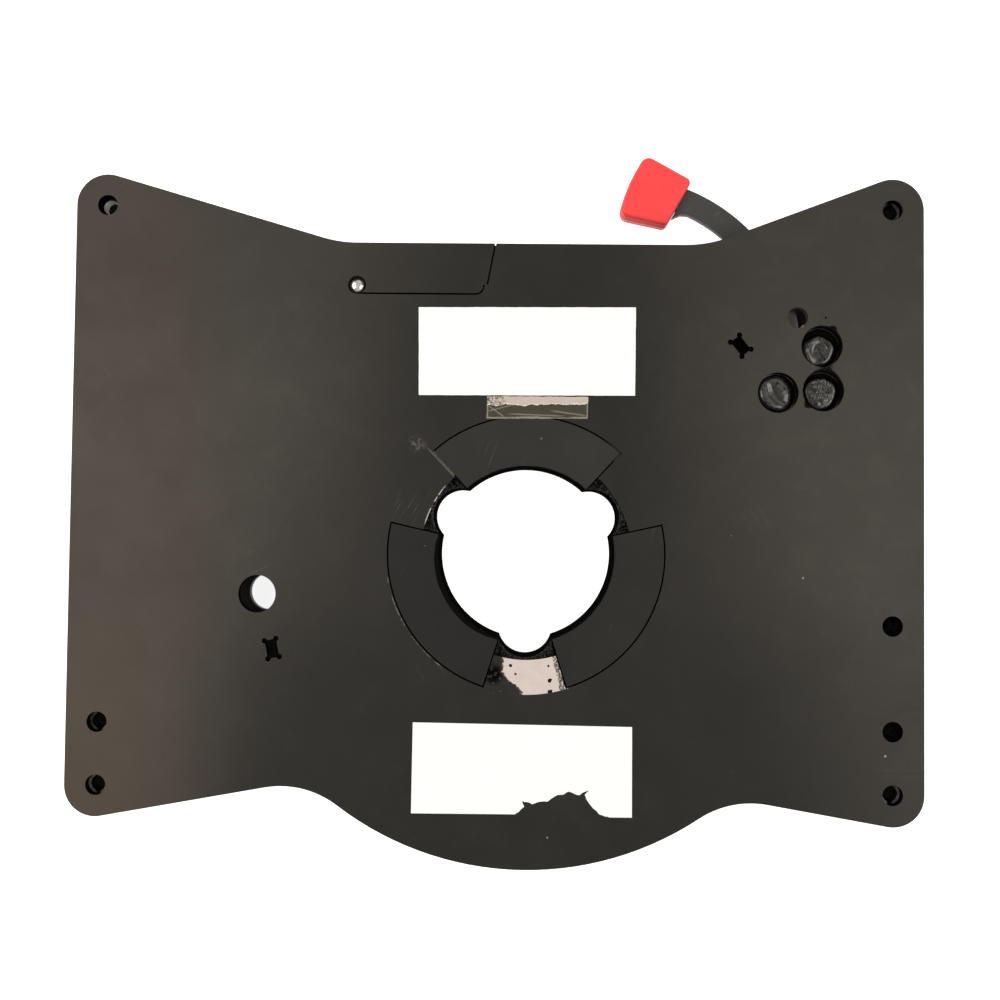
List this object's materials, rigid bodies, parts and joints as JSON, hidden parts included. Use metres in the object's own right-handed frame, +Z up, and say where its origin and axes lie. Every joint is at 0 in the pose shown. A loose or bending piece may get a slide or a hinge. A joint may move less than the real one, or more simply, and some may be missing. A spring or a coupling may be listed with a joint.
{
  "type": "swivel seat base",
  "caption": "Low turntable for a vehicle seat: two flat steel plates that turn on a hollow ball-bearing hub, with a side lever and knob that lock the seat plate",
  "frame": {"origin": "on the turning axis, at the underside of the base plate", "axes": "+Z up towards the seat, +Y towards the edge where the lever comes out, +X towards the ear nearest the lever's pivot"},
  "size_m": [0.41, 0.3465, 0.03],
  "materials": {
    "plate_paint": "satin dark grey-brown powder coat",
    "seat_paint": "satin dark grey-brown powder coat, lightly marked",
    "hub_paint": "satin dark grey-brown powder coat",
    "weld_paint": "rough weld under glossy dark paint",
    "lever_paint": "satin dark paint",
    "race_steel": "turned bearing steel",
    "ball_steel": "polished bearing steel",
    "zinc_steel": "zinc plated",
    "cage_plastic": "natural nylon",
    "knob_plastic": "smooth moulded red"
  },
  "bodies": {
    "base": {"base_plate": "plate_paint", "hub_collar": "plate_paint", "lower_race": "race_steel", "catch_forward": "plate_paint", "catch_rearward": "plate_paint"},
    "cage": {"ball_cage": "cage_plastic", "bearing_balls": "ball_steel"},
    "seat_side": {"seat_plate": "seat_paint", "hub_segment_top": "hub_paint", "hub_segment_left": "hub_paint", "hub_segment_right": "hub_paint", "hub_ring": "hub_paint", "hub_sleeve": "hub_paint", "retaining_flange": "hub_paint", "thrust_washer": "cage_plastic", "upper_race": "race_steel", "weld_nuts": "zinc_steel", "plug_welds": "weld_paint", "lever_bracket": "plate_paint", "pivot_pin": "zinc_steel", "pivot_spacer": "zinc_steel", "spring_hanger": "plate_paint", "rest_pin": "zinc_steel", "lever_spring": "zinc_steel"},
    "lever": {"release_lever": "lever_paint", "lever_bush": "cage_plastic", "spring_post": "zinc_steel", "lever_knob": "knob_plastic"}
  },
  "joints": [
    {"name": "seat_swivel", "type": "hinge", "parent": "base", "child": "seat_side", "pos_m": [0, 0, 0.015], "axis": [0, 0, 1], "continuous": true},
    {"name": "cage_turn", "type": "hinge", "parent": "base", "child": "cage", "pos_m": [0, 0, 0.015], "axis": [0, 0, 1], "continuous": true},
    {"name": "lock_lever", "type": "hinge", "parent": "seat_side", "child": "lever", "pos_m": [0.12029, 0.0788, 0.0125], "axis": [0, 0, 1], "range_deg": [0, 10], "deforming": ["lever_spring"]}
  ],
  "couplings": [
    {"joint": "cage_turn", "follows": "seat_swivel", "ratio": 0.5}
  ]
}
